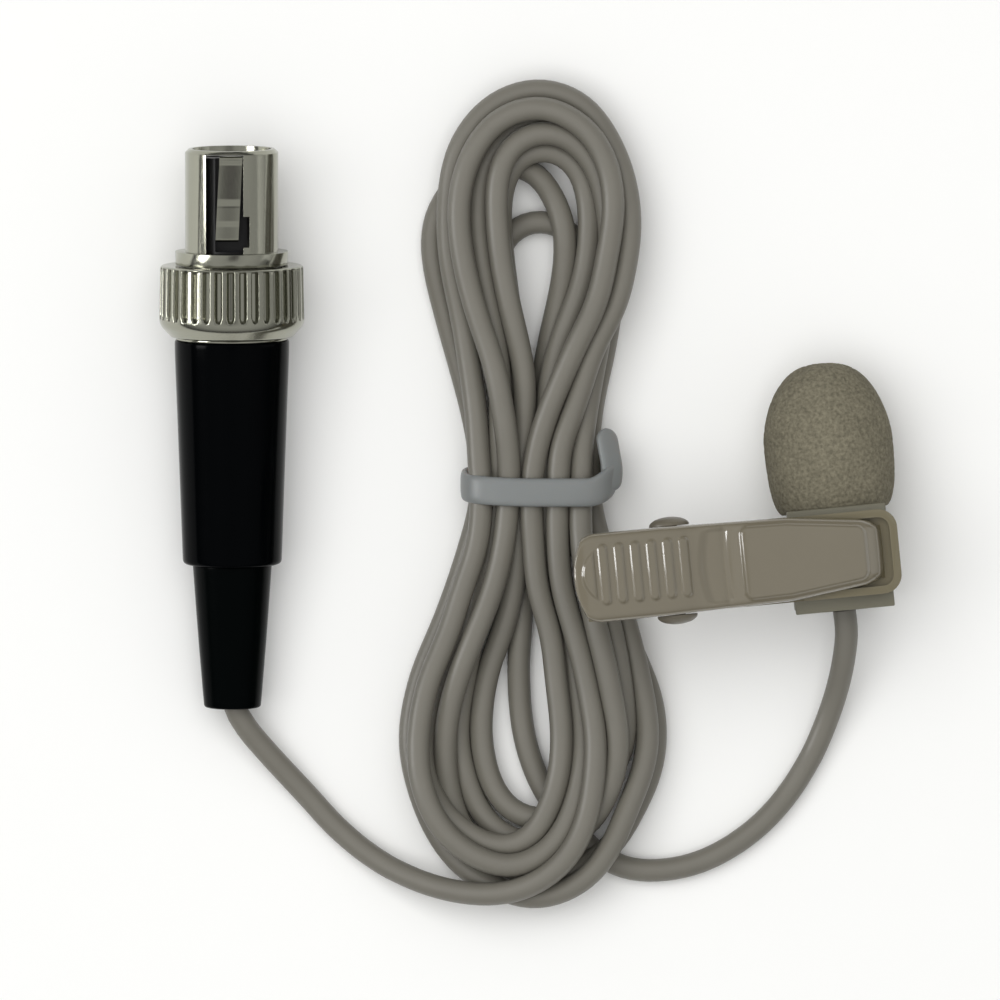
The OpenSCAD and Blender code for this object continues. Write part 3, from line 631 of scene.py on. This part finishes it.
def settled(route, held, diameter, strap, rounds=700):
    """The lead let down on the floor. It starts with each pass at its rank's height over the given plan,
    sinks a little each round, is smoothed, and any two passes closer than a diameter push
    each other apart. The floor and the strap's loop hold it, and held points stay."""
    sink, home, search, push_on = 0.01, 0.2, 1.2, 1.3  # mm a round, share back to the plan, mm, overshoot
    plan, line = route[:, :2].copy(), route.copy()
    count, floor = len(line), diameter / 2
    inside = (TIE_X[0] + strap + floor, TIE_X[1] - strap - floor)
    ceiling = TIE_TOP - strap - floor
    apart = int(3 * diameter / np.linalg.norm(plan[1] - plan[0]))
    for turn in range(rounds):
        if turn % 8 == 0:
            near = ((line[:, None] - line[None]) ** 2).sum(2) < (diameter + search) ** 2
            a, b = np.nonzero(np.triu(near, apart))
        calm = min(1.0, (rounds - turn) / (rounds * 0.4))
        free = ~held
        line[free, 2] -= sink * calm
        line[:, :2] = plan + eased(line[:, :2] - plan, 0.5, held) * (1 - home * calm)
        line[:, 2] = eased(eased(line[:, 2], 0.5, held), 0.5, held)
        for _ in range(2):
            away = line[a] - line[b]
            distance = np.linalg.norm(away, axis=1)
            hit = distance < diameter
            push = away[hit] * ((diameter - distance[hit]) / np.maximum(distance[hit], 1e-6) * 0.5)[:, None]
            total, hits = np.zeros_like(line), np.zeros(count)
            np.add.at(total, a[hit], push)
            np.add.at(total, b[hit], -push)
            np.add.at(hits, a[hit], 1)
            np.add.at(hits, b[hit], 1)
            total[held] = 0
            line += total / np.maximum(hits, 1)[:, None] * push_on
            across = (line[:, 0] > TIE_X[0] - 2) & (line[:, 0] < TIE_X[1] + 2)
            tied = across & (np.abs(line[:, 1] - TIE_Y) < 1.5)
            lowest = np.where(tied, floor + strap, floor)
            line[:, 2] = np.where(held, line[:, 2], np.maximum(line[:, 2], lowest))
            line[tied, 0] = np.clip(line[tied, 0], *inside)
            line[tied, 2] = np.minimum(line[tied, 2], ceiling)
    return line


def lead_line(lead):
    """The whole lead from the microphone's bush to inside the boot, in millimetres in the lay frame."""
    diameter = millimetres(lead.diameter)
    lift = 1.5  # starting height of one rank over the next
    hank = [(x, y, diameter / 2 + (rank - 1) * lift) for x, y, rank in HANK]
    plan = evenly(PLUG_TAIL + hank + MIC_TAIL, millimetres(lead.step))
    near_plug = (plan[:, 0] < -31.6) & (plan[:, 1] < -18)
    near_mic = (plan[:, 0] > 7.5) & (plan[:, 1] > -25)
    held = near_plug | near_mic
    line = settled(plan, held, diameter, millimetres(lead.strap_thickness))
    for _ in range(3):
        line = eased(line, 0.5, held)
    into_boot = np.array([PLUG_TAIL[0]]) + np.outer(
        [8, 4], [0, math.cos(PLUG_TILT), math.sin(PLUG_TILT)]
    )
    return evenly(np.concatenate([into_boot, line]), 0.8)[::-1]


def make_lead(scene):
    """One open spline along the settled line, with a round section."""
    lead = scene.lav_lead
    line = laid(lead_line(lead)) * MM
    data = bpy.data.curves.new("lead", "CURVE")
    data.dimensions = "3D"
    data.bevel_depth = lead.diameter / 2
    data.bevel_resolution = 6
    data.use_fill_caps = True
    spline = data.splines.new("POLY")
    spline.points.add(len(line) - 1)
    spline.points.foreach_set("co", np.column_stack([line, np.ones(len(line))]).ravel())
    spline.use_smooth = True
    obj = bpy.data.objects.new("lead", data)
    scene.collection.objects.link(obj)
    jacket = plastic("jacket", scene.lav_finish.jacket)
    return finished(obj, "lead", "jacket", jacket, "cord_plug_tail", "cord_hank", "cord_mic_tail")


def declare_lead():
    """Gathers the pieces that lie on the lead into a list, which is used no further."""
    on_it = [
        "tie_band", "tie_end", "tie_keeper", "plug_nose_turning", "latch_leaf", "knurled_collar_turning",
        "clamp_washer_turning", "plug_housing_moulding", "strain_relief_moulding",
    ]
    on_it = [bpy.data.objects[name] for name in on_it]
    inner = ["contact_insert", "contact_sockets", "cable_clamp", "plug_conductors"]
    on_it += [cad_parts[node] for node in inner]


def strap(name, path, across, width, thick, closed):
    """A soft strap carried along a path: its section is a squarish oval, wide along the across vectors and
    thick along the normal to them and to the path. An open strap's ends narrow to a half circle."""
    ahead = np.gradient(path, axis=0)
    if closed:
        ahead = np.roll(path, -1, axis=0) - np.roll(path, 1, axis=0)
    ahead /= np.linalg.norm(ahead, axis=1)[:, None]
    across = across - ahead * (across * ahead).sum(1)[:, None]
    across /= np.linalg.norm(across, axis=1)[:, None]
    normal = np.cross(ahead, across)
    v = np.arange(28) * math.tau / 28
    wide = np.sign(np.cos(v)) * np.abs(np.cos(v)) ** 0.55 * width / 2
    deep = np.sign(np.sin(v)) * np.abs(np.sin(v)) ** 0.75 * thick / 2
    share = np.ones(len(path))
    if not closed:
        far = np.r_[0, np.cumsum(np.linalg.norm(np.diff(path, axis=0), axis=1))]
        near_end = np.clip(np.minimum(far, far[-1] - far) / (width / 2), 0.004, 1)
        share = np.sqrt(1 - (1 - near_end) ** 2)
    share = share[:, None, None]
    grid = path[:, None] + share * across[:, None] * wide[:, None]
    grid = grid + np.sqrt(share) * normal[:, None] * deep[:, None]
    return skin(name, laid(grid), along=closed, sharp=80)


def make_tie(scene):
    """The strap round the hank. Its loop is a rounded box in x and z, whose middle drifts in y, so that the
    half underneath lies further up on the right than the half on top. Its loose end stands against the
    hank's side, over a short keeper."""
    lead = scene.lav_lead
    width, thick = millimetres(lead.strap_width), millimetres(lead.strap_thickness)
    silicone = plastic("strap", scene.lav_finish.strap, Subsurface_Weight=0.05)
    left, right = TIE_X[0] + thick / 2, TIE_X[1] - thick / 2
    low, top = thick / 2, TIE_TOP - thick / 2
    loop = rounded(
        [(left, low, 2.6), (right, low, 3.0), (right, top, 3.4), (left, top, 3.6)], steps=16, closed=True
    )
    x, z = spaced(loop, 0.3, closed=True).T
    upper = ease((z - low) / (top - low))
    over = 0.02 * np.minimum(x + 17.9, 0) ** 2 / 2.8 + 1.5 * ease((x + 14.2) / 4.2) ** 2
    under = 1.1 + 2.2 * (x - left) / (right - left)
    y = TIE_Y + 0.1 + upper * over + (1 - upper) * under
    path = np.stack([x, y, z], -1)
    lean = np.zeros_like(path)
    lean[:, 1] = 1
    band = strap("tie_band", path, lean, width, thick, closed=True)
    finished(band, "lead", "strap", silicone, "cord_tie")
    path = evenly([(-11.3, 0.6, 5.9), (-11.1, 2.6, 5.4), (-11.4, 4.6, 4.9), (-11.75, 6.5, 4.6)], 0.12)
    lean = np.tile([0.78, 0.05, -0.62], (len(path), 1))
    end = strap("tie_end", path, lean, width * 0.88, thick, closed=False)
    finished(end, "lead", "strap", silicone, "cord_tie")
    path = evenly([(-10.9, 0.9, 3.0), (-10.95, 2.6, 3.6), (-11.2, 4.4, 3.4)], 0.12)
    lean = np.tile([0.5, 0, -0.87], (len(path), 1))
    keeper = strap("tie_keeper", path, lean, width * 0.9, thick, closed=False)
    finished(keeper, "lead", "strap", silicone, "cord_tie")


# ---- the windscreen ----


def lattice_noise(points, spacing):
    """Smooth noise from 0 to 1: each corner of a cubic lattice has a fixed random value from a hash of its
    place, and a point takes the eased mix of the eight round it."""
    cell = np.floor(points / spacing).astype(np.int64)
    part = ease(points / spacing - cell)
    total = np.zeros(points.shape[:-1])
    for corner in np.ndindex(2, 2, 2):
        i, j, k = np.moveaxis(cell + corner, -1, 0)
        mixed = (i * 374761393 + j * 668265263 + k * 2147483647) & 0xFFFFFFFF
        mixed = ((mixed ^ (mixed >> 13)) * 1274126177) & 0xFFFFFFFF
        value = ((mixed ^ (mixed >> 16)) & 0xFFFF) / 65535
        weight = np.prod(np.where(corner, part, 1 - part), axis=-1)
        total += value * weight
    return total


def make_windscreen(scene):
    """The foam: a quarter oval from the neck to the waist and a fuller one over the crown, then down the
    pocket for the capsule. Cut cells are pressed in where a fine lattice noise is low."""
    foam = scene.lav_foam
    radius, cell, pit = (millimetres(v) for v in (foam.radius, foam.cell, foam.pit))
    neck_y, waist_y, crown_y, neck_r, pocket_r, pocket_y = -2.3, 3.2, 11.8, 4.9, 3.85, 8.1
    a = np.radians(np.linspace(8, 90, 12))
    lower = np.stack([waist_y - (waist_y - neck_y) * np.cos(a), neck_r + (radius - neck_r) * np.sin(a)], -1)
    a = np.radians(np.linspace(0, 90, 34))[1:]
    upper = np.stack([waist_y + (crown_y - waist_y) * np.sin(a) ** 0.92, radius * np.cos(a) ** 0.86], -1)
    outside = np.concatenate([lower, upper])
    lip = rounded([
        (pocket_y, 0, 0), (pocket_y, pocket_r, 0.3), (neck_y, pocket_r, 0.35), (neck_y, neck_r, 0.45),
        (lower[0][0], lower[0][1], 0),
    ])
    line = spaced(np.concatenate([lip, outside[1:]]), 0.17)
    line[:, 1] = np.maximum(line[:, 1], 0.02)
    v = np.arange(232) * math.tau / 232
    t, r = line[:, :1], line[:, 1:]
    place = on_mic(r * np.cos(v), r * np.sin(v), t)
    rough = 0.6 * lattice_noise(place, cell * 0.8) + 0.4 * lattice_noise(place + 31.7, cell * 0.42)
    swell = 0.14 * (lattice_noise(place, 2.6) - 0.5) - pit * ease((0.56 - rough) / 0.3)
    slope = np.gradient(line, axis=0)
    slope /= np.linalg.norm(slope, axis=1)[:, None]
    swell *= np.minimum(r / 0.8, 1)
    t = t - slope[:, 1:] * swell
    r = r + slope[:, :1] * swell
    grid = on_mic(r * np.cos(v), r * np.sin(v), t)
    obj = skin("foam_windscreen", grid, sharp=180)
    finished(obj, "windscreen", "foam", foam_pu(scene.lav_finish.foam, cell), "windscreen")
    return obj


# ---- the clip ----

# The lever's outside in side view, as (x, height, cut corner): over its top, and under its skirt
LEVER_TOP = [
    (-15.45, 20.3, 0), (-15.4, 20.85, 0.4), (-14.1, 20.8, 0.5), (-5.5, 18.6, 1.2), (-3.6, 17.9, 1),
    (-1.6, 17.6, 0.8), (-0.9, 17.3, 0.35), (-0.3, 17.35, 0.35), (0.6, 17.6, 0.6), (12.3, 16.25, 0.5),
    (13.3, 15.6, 0.5), (13.76, 15.0, 0.3), (13.78, 14.75, 0),
]
LEVER_SKIRT = [
    (-15.45, 20.3, 0), (-15.2, 19.8, 0.3), (-9.2, 17.2, 1.5), (-7.5, 15.4, 0.6), (-7.1, 14.6, 0.4),
    (-6, 14.15, 0.7), (-4.9, 14.6, 0.4), (-4.4, 15.2, 0.5), (5, 15.15, 1), (11, 15.15, 0.5), (12, 14.65, 0.3),
    (13.78, 14.65, 0),
]


def height_of(outline, x):
    """The height of a side outline at each x."""
    line = rounded(outline, steps=8)
    return np.interp(x, line[:, 0], line[:, 1])


def lever_half_width(x):
    """Half the lever's width in plan: a bowed thumb end with round corners, then a slow taper to the tip."""
    corner = 1.9 + np.sqrt(np.maximum(2.3**2 - np.minimum(x + 13.1, 0) ** 2, 0))
    bow = np.sqrt(np.maximum(64 - np.minimum(x + 7.45, 0) ** 2, 0))
    taper = np.interp(x, [-7, 5, 12.0, 12.9, 13.5, 13.78], [4.2, 3.95, 3.1, 2.85, 2.45, 1.7])
    return np.minimum(np.minimum(corner, np.maximum(bow, 0.02)), taper)


def lever_relief(x, y, clip):
    """Height added to the lever's top: six round-ended ribs and a half-moon under the thumb, two faint steps
    bowed towards the thumb, and the raised panel over the jaw."""
    rib, panel = millimetres(clip.rib_height), millimetres(clip.panel_height)
    edge = 0.3
    total = np.zeros(np.broadcast_shapes(x.shape, y.shape))
    side = y - 0.25
    for middle in -12.55 + 1.54 * np.arange(6):
        off = np.hypot(x - middle, np.maximum(np.abs(side) - 2.4, 0))
        total = np.maximum(total, rib * ramp((0.56 - off) / edge))
    moon = np.minimum(2.95 - np.hypot(x + 11.75, side * 1.02), -13.28 - x)
    total = np.maximum(total, rib * ramp(moon / edge))
    bow = 0.045 * y**2
    sunk = ease((x + 3.8 - bow) / 1.1) * ramp((-0.75 + bow * 0.4 - x) / 0.45) * ease((3.7 - np.abs(y)) / 0.5)
    total -= 0.28 * sunk
    inset = lever_half_width(x) - 0.62
    corner = 0.7
    dx = np.maximum(np.maximum(0.62 + corner - x, x - (12.35 - corner)), 0)
    dy = np.maximum(np.abs(y) - (inset - corner), 0)
    total += panel * ramp((corner - np.hypot(dx, dy)) / 0.36 + 0.5)
    return total


def make_lever(scene):
    """The lever, from sections across it at stations along x. A section goes up one skirt, round its
    shoulder, across the top with the relief added, down the other skirt, and back under the plate."""
    clip = scene.lav_clip
    edge = millimetres(clip.edge)
    x = np.linspace(-15.45, 13.78, 366)[:, None]
    x[0], x[-1] = -15.449, 13.779
    top, skirt, half = height_of(LEVER_TOP, x), height_of(LEVER_SKIRT, x), lever_half_width(x)
    skirt = np.minimum(skirt, top - 0.05)
    turn = np.linspace(0, math.pi / 2, 9)
    radius = np.minimum(np.minimum(edge, half * 0.6), (top - skirt) * 0.6)
    shoulder_y = half - radius * (1 - np.cos(turn))
    shoulder_z = top - radius * (1 - np.sin(turn))
    across = np.linspace(1, -1, 75)[1:-1]
    plate_y = (half - radius) * across
    plate_z = top + 0 * plate_y
    lip = np.minimum(0.14, (top - skirt) * 0.2)
    wall = np.minimum(0.9, half * 0.45)
    hollow = ease((x + 14.4) / 0.8) * ease((11.3 - x) / 0.5)
    roof = skirt + np.maximum(top - 1.0 - skirt, 0) * hollow
    outer_y = np.concatenate(
        [half - lip, half, shoulder_y, plate_y, -shoulder_y[:, ::-1], -half, -half + lip], 1
    )
    outer_z = np.concatenate(
        [skirt, skirt + lip, shoulder_z, plate_z, shoulder_z[:, ::-1], skirt + lip, skirt], 1
    )
    under = half - wall
    under_y = np.concatenate([-under, -under, -under * 0.5, 0 * under, under * 0.5, under, under], 1)
    under_z = np.concatenate([skirt, roof, roof, roof, roof, roof, skirt], 1)
    y = np.concatenate([outer_y, under_y], 1)
    z = np.concatenate([outer_z, under_z], 1)
    on_top = np.zeros(z.shape[1])
    on_top[2 : outer_y.shape[1] - 2] = 1
    crown = 0.1 * (1 - (y / np.maximum(half, 0.1)) ** 2)
    z = z + on_top * (lever_relief(x, y, clip) + crown) * ease((half - 0.1) / 0.8)
    grid = np.stack([x + 0 * y, CLIP_Y + 0.1 + y, z], -1)
    obj = skin("clip_lever_moulding", grid, sharp=35)
    abs_gloss = plastic("lever", scene.lav_finish.lever, Coat_Weight=1.0, Coat_Roughness=0.05)
    return finished(obj, "lever", "lever_plastic", abs_gloss, "clip_lever")


def make_clip_parts(scene):
    """The lower jaw and the holder, with moulded edges on their CAD shapes."""
    edge = millimetres(scene.lav_clip.moulded_edge)
    finish = scene.lav_finish
    jaw = plastic("jaw", finish.jaw, Coat_Weight=0.3)
    finished(softened("clip_base", "clip_jaw_moulding", edge), "clip", "clip_plastic", jaw, "clip_base")
    holder = plastic("holder", finish.holder)
    finished(softened("mic_holder", "holder_moulding", edge), "holder", "holder_plastic", holder, "mic_holder")


def make_pin(scene):
    """The hinge pin: a turned profile with a plain shaft, a collar against each ear and a domed head."""
    head = [(0, 1.9, 0.05), (0.3, 1.88, 0.3), (0.68, 1.35, 0.35), (0.86, 0.5, 0.2), (0.88, 0.02, 0)]
    upper = [(4.3, 0.74, 0), *[(4.3 + t, r, cut) for t, r, cut in head]]
    lower = [(-4.12, 0.74, 0), *[(-4.12 - t, r, cut) for t, r, cut in head]]
    line = spaced(np.concatenate([rounded(lower, steps=6)[::-1], rounded(upper, steps=6)]), 0.2)
    v = np.arange(48) * math.tau / 48
    t, r = line[:, :1], line[:, 1:]
    grid = np.stack(np.broadcast_arrays(HINGE_X + r * np.cos(v), CLIP_Y + t, HINGE_Z + r * np.sin(v)), -1)
    pin = skin("hinge_pin_turning", grid, sharp=60)
    finished(pin, "clip", "clip_plastic", plastic("holder", scene.lav_finish.pin), "hinge_pin")


# ---- the plug ----


def make_collar(scene, nickel):
    """The knurled collar: a ring whose outside is cut by flutes. A flute's depth goes as a smooth step
    from each side and runs out in a round end before the shoulder and behind the front edge."""
    plug = scene.lav_plug
    depth, flutes = millimetres(plug.flute_depth), plug.flutes
    front, bore = FLANGE_L + 0.05, 4.65
    line = rounded([
        (front, bore, 0.1), (front, COLLAR_R - 0.1, 0.35), (COLLAR_FULL, COLLAR_R, 0.5), (COLLAR_L, 5.8, 0.2),
        (COLLAR_L, bore, 0.1),
    ], steps=6, closed=True)
    line = spaced(line, 0.14, closed=True)

    def cut(t, r, v):
        across = np.abs((v * flutes / math.tau + 0.5) % 1 - 0.5) * math.tau * COLLAR_R / flutes
        end = np.sqrt(np.clip(1 - (across / 0.3) ** 2, 0, 1)) * 0.3
        groove = ease((0.42 - across) / 0.24)
        window = ease((t - front - 0.12) / 0.2) * ease((COLLAR_FULL - 0.75 + end - t) / 0.35)
        return -depth * groove * window * (r > COLLAR_R - 0.7)

    obj = turned("knurled_collar_turning", line, on_plug, sides=flutes * 20, relief=cut, sharp=60)
    return finished(obj, "collar", "nickel", nickel, "knurled_collar")


def make_latch(nickel):
    """The latch: a sprung strip whose side outline is carried across it and bowed, so that a point x off
    its middle lies x squared over twice the bow's radius lower. It leans to one side towards its free
    end."""
    bow, lean = 12, 0.05
    side = rounded([
        (0.42, 3.75, 0.1), (0.5, 4.1, 0.12), (0.8, 4.22, 0.1), (1.25, 4.07, 0.1), (4.5, 4.27, 0.15),
        (5.2, 4.47, 0.12), (6.65, 4.47, 0.1), (7.05, 4.36, 0.1), (8.4, 4.35, 0.1), (8.6, 3.9, 0.1),
        (8.3, 4.05, 0.1), (7.1, 4.06, 0.15), (6.6, 4.17, 0.15), (5.2, 4.17, 0.15), (4.5, 3.97, 0.2),
        (1.3, 3.77, 0.2), (0.8, 3.9, 0.1),
    ], steps=5, closed=True)
    t, up = spaced(side, 0.1, closed=True).T[:, :, None]
    x = np.linspace(-1.1, 1.08, 17)
    grid = on_plug(x - lean * (t - 1.0), up - x**2 / (2 * bow), t)
    leaf = skin("latch_leaf", np.swapaxes(grid, 0, 1), sharp=50)
    return finished(leaf, "latch", "nickel", nickel, "latch_spring")


def make_plug_metal(scene):
    """The collar and latch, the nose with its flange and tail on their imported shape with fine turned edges,
    and the washer behind the collar."""
    nickel = metal("nickel", scene.lav_finish.nickel)
    make_collar(scene, nickel)
    make_latch(nickel)
    finished(softened("plug_shell", "plug_nose_turning", 0.14), "lead", "nickel", nickel, "plug_shell")
    finished(softened("clamp_washer", "clamp_washer_turning", 0.05), "lead", "nickel", nickel, "clamp_washer")


def make_housing(scene):
    """The housing and the boot: turned profiles that narrow slowly, with soft edges and open rear ends."""
    front, rear = HOUSING_FRONT_R, HOUSING_REAR_R
    dim = 0.03  # specular level: a pale studio would turn both of them grey
    line = rounded([
        (WASHER_L, 4.62, 0.05), (WASHER_L, front, 0.35), (WASHER_L + 1.6, front - 0.02, 0.6),
        (WASHER_L + 6.2, front - 0.2, 2.0), (HOUSING_L - 8.5, rear + 0.3, 3.0), (HOUSING_L, rear, 0.5),
        (HOUSING_L, 3.3, 0.05), (HOUSING_L - 1.2, 3.3, 0.05), (HOUSING_L - 1.2, 3.7, 0.05), (22, 3.7, 0.05),
        (22, 4.62, 0.05),
    ], steps=6, closed=True)
    body = turned("plug_housing_moulding", spaced(line, 0.4, closed=True), on_plug, sides=144, sharp=50)
    gloss = plastic("housing", scene.lav_finish.housing, Specular_IOR_Level=dim)
    finished(body, "lead", "black_gloss", gloss, "rear_housing")
    bore = millimetres(scene.lav_lead.diameter) / 2 + 0.02
    line = rounded([
        (HOUSING_L - 3, bore, 0.05), (HOUSING_L - 3, 3.6, 0.2), (HOUSING_L - 1.3, 3.6, 0.1),
        (HOUSING_L - 1.3, 3.26, 0.05), (HOUSING_L + 0.02, 3.26, 0.05), (HOUSING_L + 0.02, 3.76, 0.15),
        (HOUSING_L + 6.5, 3.3, 3.0), (BOOT_L, 2.7, 0.3), (BOOT_L, bore, 0.1),
    ], steps=6, closed=True)
    sleeve = turned("strain_relief_moulding", spaced(line, 0.4, closed=True), on_plug, sides=112, sharp=50)
    pvc = plastic("boot", linear("010303"), Specular_IOR_Level=dim)
    finished(sleeve, "lead", "black_boot", pvc, "strain_relief_boot")


# ---- inner parts ----


def finish_inner_parts():
    """Materials for the CAD nodes whose shape is already right."""
    finishes = {
        metal("capsule", linear("57524A")): ["capsule_housing", "capsule_grille"],
        mesh_felt(): ["mesh_disc"],
        metal("steel", linear("A5A49F")): ["electret_capsule", "swivel_rivet", "swivel_washer", "cable_clamp"],
        plastic("rubber", linear("171716")): ["capsule_gasket", "rear_bush"],
        plastic("board", linear("1F5A33"), Coat_Weight=0.3): ["circuit_board"],
        plastic("wire", linear("8E3324")): ["mic_conductors", "plug_conductors"],
        metal("spring", linear("A7A9A6")): ["clip_spring"],
        plastic("insert", linear("070708")): ["contact_insert"],
        metal("contact", linear("D9B25A")): ["contact_sockets"],
    }
    for material, nodes in finishes.items():
        for node in nodes:
            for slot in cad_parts[node].material_slots:
                slot.material = material


# ---- the studio ----


def studio_light(name, place, size, power):
    """A square area light that looks at the middle of the object and doesn't show itself."""
    data = bpy.data.lights.new(name, "AREA")
    data.size = size
    data.energy = power
    light = bpy.data.objects.new(name, data)
    bpy.context.scene.collection.objects.link(light)
    light.location = place
    light.rotation_euler = Vector(place).to_track_quat("Z", "Y").to_euler()
    light.visible_camera = False
    return light


def make_stage(scene):
    """A white floor, a surround whose grey goes with height, a large soft light overhead, a small one on each
    side that only glosses catch, and a camera straight above with a long lens."""
    scene.view_settings.view_transform = "Standard"
    side = 3.0
    mesh = bpy.data.meshes.new("floor")
    corners = [(-side, -side, 0), (side, -side, 0), (side, side, 0), (-side, side, 0)]
    mesh.from_pydata(corners, [], [(0, 1, 2, 3)])
    floor = bpy.data.objects.new("floor", mesh)
    scene.collection.objects.link(floor)
    mesh.materials.append(plastic("floor", linear("F6F6F4")))
    world = scene.world or bpy.data.worlds.new("surround")
    scene.world = world
    world.use_nodes = True
    tree = world.node_tree
    way = add_node(tree, "ShaderNodeTexCoord").outputs["Generated"]
    height = add_node(tree, "ShaderNodeSeparateXYZ", {0: way}).outputs["Z"]
    dome = add_node(tree, "ShaderNodeValToRGB", {0: height})
    ramp_stops = dome.color_ramp.elements
    ramp_stops[0].position = 0.05
    ramp_stops[0].color = (0.03, 0.03, 0.03, 1)
    ramp_stops[1].position = 1.0
    ramp_stops[1].color = (0.16, 0.15, 0.16, 1)
    for place, grey in ((0.5, 0.48), (0.86, 0.62), (0.97, 0.55), (0.992, 0.2)):
        ramp_stops.new(place).color = (grey, grey, grey, 1)
    seen = add_node(tree, "ShaderNodeLightPath").outputs["Is Camera Ray"]
    tone = add_node(
        tree, "ShaderNodeMix", {"Factor": seen, 6: dome.outputs["Color"], 7: (0.86, 0.87, 0.88, 1)},
        data_type="RGBA",
    )
    tree.links.new(tone.outputs[2], tree.nodes["Background"].inputs["Color"])
    overhead = studio_light("overhead", (-0.25, 0.15, 1.2), 1.4, 13.0)
    overhead.visible_glossy = False
    for name, place, size, power in (
        ("left_glint", (-1.0, 0.2, 0.48), 0.4, 5.0), ("right_glint", (1.1, 0.1, 0.3), 0.55, 0.5)
    ):
        glint = studio_light(name, place, size, power)
        glint.visible_diffuse = False
    camera_data = bpy.data.cameras.new("camera")
    camera = bpy.data.objects.new("camera", camera_data)
    scene.collection.objects.link(camera)
    distance, field, look_z = 1.5, 0.09524, 0.003
    camera_data.lens = camera_data.sensor_width * distance / field
    camera_data.clip_end = 20
    middle = laid([-21.73, -0.3, 0]) * MM
    camera.location = (middle[0], middle[1], distance + look_z)
    camera.rotation_euler = (0, 0, LAY_TURN)
    scene.camera = camera


# ---- operators ----


class LAV_OT_stage(bpy.types.Operator):
    """Floor, surround, lights and camera"""

    bl_idname = "lav.stage"
    bl_label = "Studio"

    def execute(self, context):
        make_stage(context.scene)
        return {"FINISHED"}


class LAV_OT_lead(bpy.types.Operator):
    """The lead on its whole length and the strap that ties it"""

    bl_idname = "lav.lead"
    bl_label = "Lead and strap"

    def execute(self, context):
        make_lead(context.scene)
        make_tie(context.scene)
        return {"FINISHED"}


class LAV_OT_windscreen(bpy.types.Operator):
    """The foam windscreen"""

    bl_idname = "lav.windscreen"
    bl_label = "Windscreen"

    def execute(self, context):
        make_windscreen(context.scene)
        return {"FINISHED"}


class LAV_OT_clip(bpy.types.Operator):
    """The lever, the jaw, the hinge pin and the holder"""

    bl_idname = "lav.clip"
    bl_label = "Clip"

    def execute(self, context):
        make_lever(context.scene)
        make_clip_parts(context.scene)
        make_pin(context.scene)
        return {"FINISHED"}


class LAV_OT_plug_metal(bpy.types.Operator):
    """The nickel-plated parts of the plug"""

    bl_idname = "lav.plug_metal"
    bl_label = "Plug metal"

    def execute(self, context):
        make_plug_metal(context.scene)
        return {"FINISHED"}


class LAV_OT_housing(bpy.types.Operator):
    """The plug's black housing and its boot"""

    bl_idname = "lav.housing"
    bl_label = "Housing and boot"

    def execute(self, context):
        make_housing(context.scene)
        return {"FINISHED"}


class LAV_OT_inner_finishes(bpy.types.Operator):
    """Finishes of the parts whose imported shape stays"""

    bl_idname = "lav.inner_finishes"
    bl_label = "Inner finishes"

    def execute(self, context):
        finish_inner_parts()
        return {"FINISHED"}


class LAV_OT_declare(bpy.types.Operator):
    """Gathers the pieces that lie on the lead, and uses them no further"""

    bl_idname = "lav.declare"
    bl_label = "Declare the lead"

    def execute(self, context):
        declare_lead()
        return {"FINISHED"}


STEPS = (
    LAV_OT_stage,
    LAV_OT_lead,
    LAV_OT_windscreen,
    LAV_OT_clip,
    LAV_OT_plug_metal,
    LAV_OT_housing,
    LAV_OT_inner_finishes,
    LAV_OT_declare,
)


class LAV_PT_microphone(bpy.types.Panel):
    """Settings and steps of the microphone"""

    bl_label = "Lavalier microphone"
    bl_space_type = "VIEW_3D"
    bl_region_type = "UI"
    bl_category = "Microphone"

    def draw(self, context):
        for name, group in SETTINGS.items():
            box = self.layout.box()
            for key in group.__annotations__:
                box.prop(getattr(context.scene, name), key)
        for step in STEPS:
            self.layout.operator(step.bl_idname)


def register():
    for part in (*SETTINGS.values(), *STEPS, LAV_PT_microphone):
        bpy.utils.register_class(part)
    for name, group in SETTINGS.items():
        setattr(bpy.types.Scene, name, PointerProperty(type=group))


def unregister():
    for name in SETTINGS:
        delattr(bpy.types.Scene, name)
    for part in (LAV_PT_microphone, *STEPS, *SETTINGS.values()):
        bpy.utils.unregister_class(part)


def main():
    """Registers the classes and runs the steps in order."""
    register()
    for step in STEPS:
        group, name = step.bl_idname.split(".")
        getattr(getattr(bpy.ops, group), name)()


if __name__ == "__main__":
    main()
